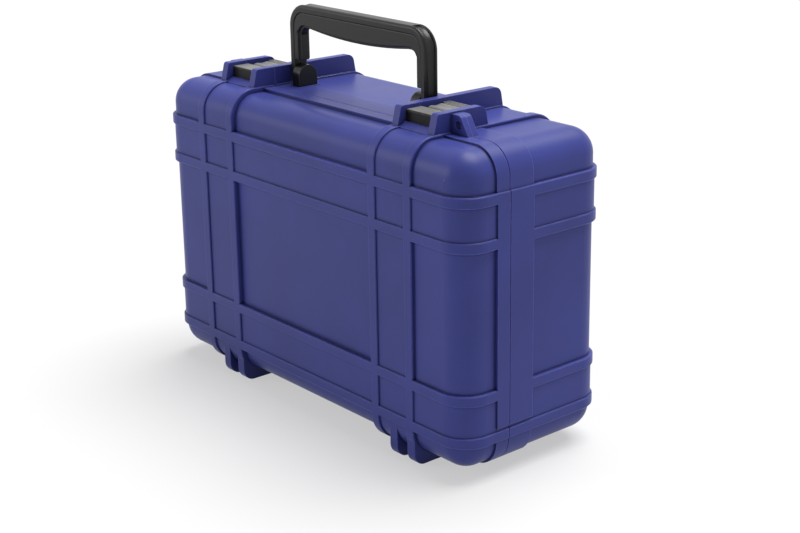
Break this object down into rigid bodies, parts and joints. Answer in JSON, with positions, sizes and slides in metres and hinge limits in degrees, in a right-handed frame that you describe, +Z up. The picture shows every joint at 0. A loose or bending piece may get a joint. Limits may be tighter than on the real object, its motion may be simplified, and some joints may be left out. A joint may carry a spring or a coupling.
{
  "type": "hard tool case",
  "caption": "Ribbed hard plastic case that stands on its hinge side, with a hinged lid, draw latches with padlock ears, a seal between the halves and a folding carrying handle.",
  "frame": {"origin": "middle of the footprint, level with the soles of the feet", "axes": "+X along the width, -Y out of the lid's face, +Y out of the base's back, +Z up through the handle"},
  "size_m": [0.462, 0.177, 0.3815],
  "materials": {
    "shell": "semi-gloss moulded plastic with a fine grain",
    "latch": "satin moulded plastic",
    "grip": "satin moulded plastic",
    "steel": "plain steel",
    "seal": "soft matte rubber"
  },
  "bodies": {
    "base": {"base_shell": "shell", "hinge_pin_left": "steel", "hinge_pin_right": "steel", "lever_pin_left": "steel", "lever_pin_right": "steel", "handle_bracket_left": "grip", "handle_bracket_right": "grip", "handle_pin_left": "steel", "handle_pin_right": "steel", "bracket_screws": "steel", "bracket_washers": "steel", "bracket_seals": "seal"},
    "lid": {"lid_shell": "shell", "lid_seal": "seal"},
    "handle": {"handle_frame": "grip", "handle_grip": "grip"},
    "lever_left": {"latch_lever_left": "latch", "claw_pin_left": "steel"},
    "lever_right": {"latch_lever_right": "latch", "claw_pin_right": "steel"},
    "claw_left": {"latch_claw_left": "latch"},
    "claw_right": {"latch_claw_right": "latch"}
  },
  "joints": [
    {"name": "lid_hinge", "type": "hinge", "parent": "base", "child": "lid", "pos_m": [0, -0.0335, 0.0042], "axis": [1, 0, 0], "range_deg": [0, 100]},
    {"name": "handle_pivot", "type": "hinge", "parent": "base", "child": "handle", "pos_m": [0, -0.009, 0.3105], "axis": [1, 0, 0], "range_deg": [-90, 90]},
    {"name": "lever_left_pivot", "type": "hinge", "parent": "base", "child": "lever_left", "pos_m": [-0.13425, -0.0245, 0.3085], "axis": [1, 0, 0], "range_deg": [0, 90]},
    {"name": "lever_right_pivot", "type": "hinge", "parent": "base", "child": "lever_right", "pos_m": [0.13425, -0.0245, 0.3085], "axis": [1, 0, 0], "range_deg": [0, 90]},
    {"name": "claw_left_pivot", "type": "hinge", "parent": "lever_left", "child": "claw_left", "pos_m": [-0.13425, -0.01255, 0.30745], "axis": [1, 0, 0], "range_deg": [-90, 0]},
    {"name": "claw_right_pivot", "type": "hinge", "parent": "lever_right", "child": "claw_right", "pos_m": [0.13425, -0.01255, 0.30745], "axis": [1, 0, 0], "range_deg": [-90, 0]}
  ],
  "couplings": [
    {"joint": "claw_left_pivot", "follows": "lever_left_pivot", "ratio": -1},
    {"joint": "claw_right_pivot", "follows": "lever_right_pivot", "ratio": -1}
  ]
}
